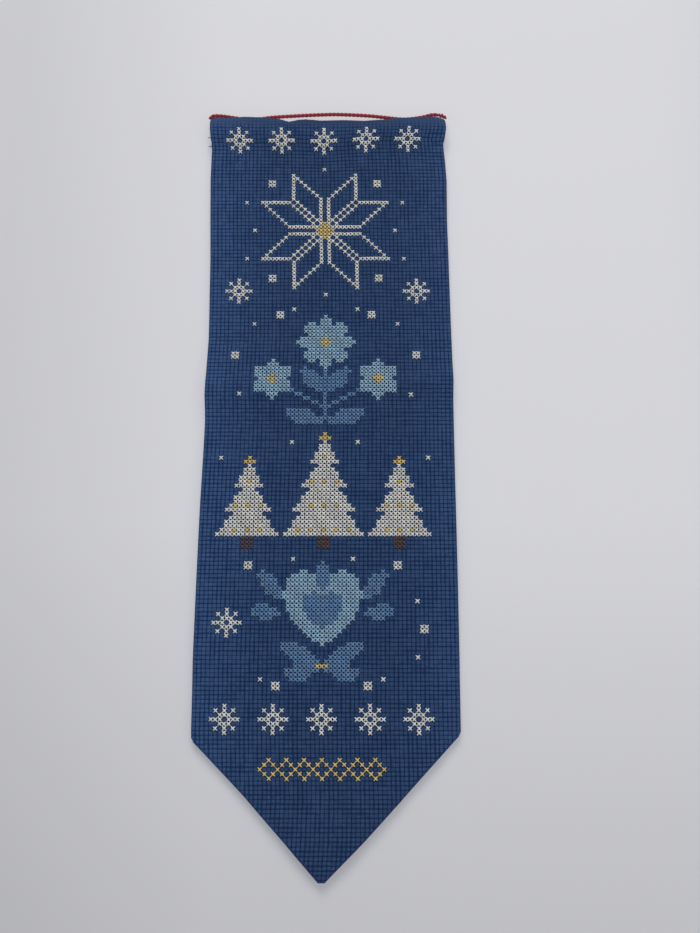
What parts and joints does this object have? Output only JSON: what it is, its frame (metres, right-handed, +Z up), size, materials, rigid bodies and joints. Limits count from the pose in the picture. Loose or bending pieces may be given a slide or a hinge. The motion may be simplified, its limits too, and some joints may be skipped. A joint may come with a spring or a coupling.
{
  "type": "cross stitch wall hanging",
  "caption": "Long pointed panel of even-weave cloth with turned hems, a full turned heading and cross stitch motifs, hung by a twisted cord that runs along its top edge to a knot.",
  "frame": {"origin": "middle of the top edge, where the hanging is held", "axes": "+Z up along the hung length, the stitched front faces -Y, +X to the viewer's right"},
  "size_m": [0.1453, 0.0079, 0.4429],
  "materials": {
    "cloth": "dark blue even-weave cotton, matt",
    "cord": "dark red twisted cotton cord",
    "white_thread": "off-white stranded cotton, soft sheen",
    "gold_thread": "gold yellow stranded cotton, soft sheen",
    "pale_blue_thread": "pale blue stranded cotton, soft sheen",
    "mid_blue_thread": "mid blue stranded cotton, soft sheen",
    "brown_thread": "brown stranded cotton, soft sheen",
    "sewing_thread": "dark blue sewing cotton"
  },
  "bodies": {
    "root": {"panel": "cloth", "hanging_cord": "cord", "cord_knot": "cord"}
  },
  "joints": []
}
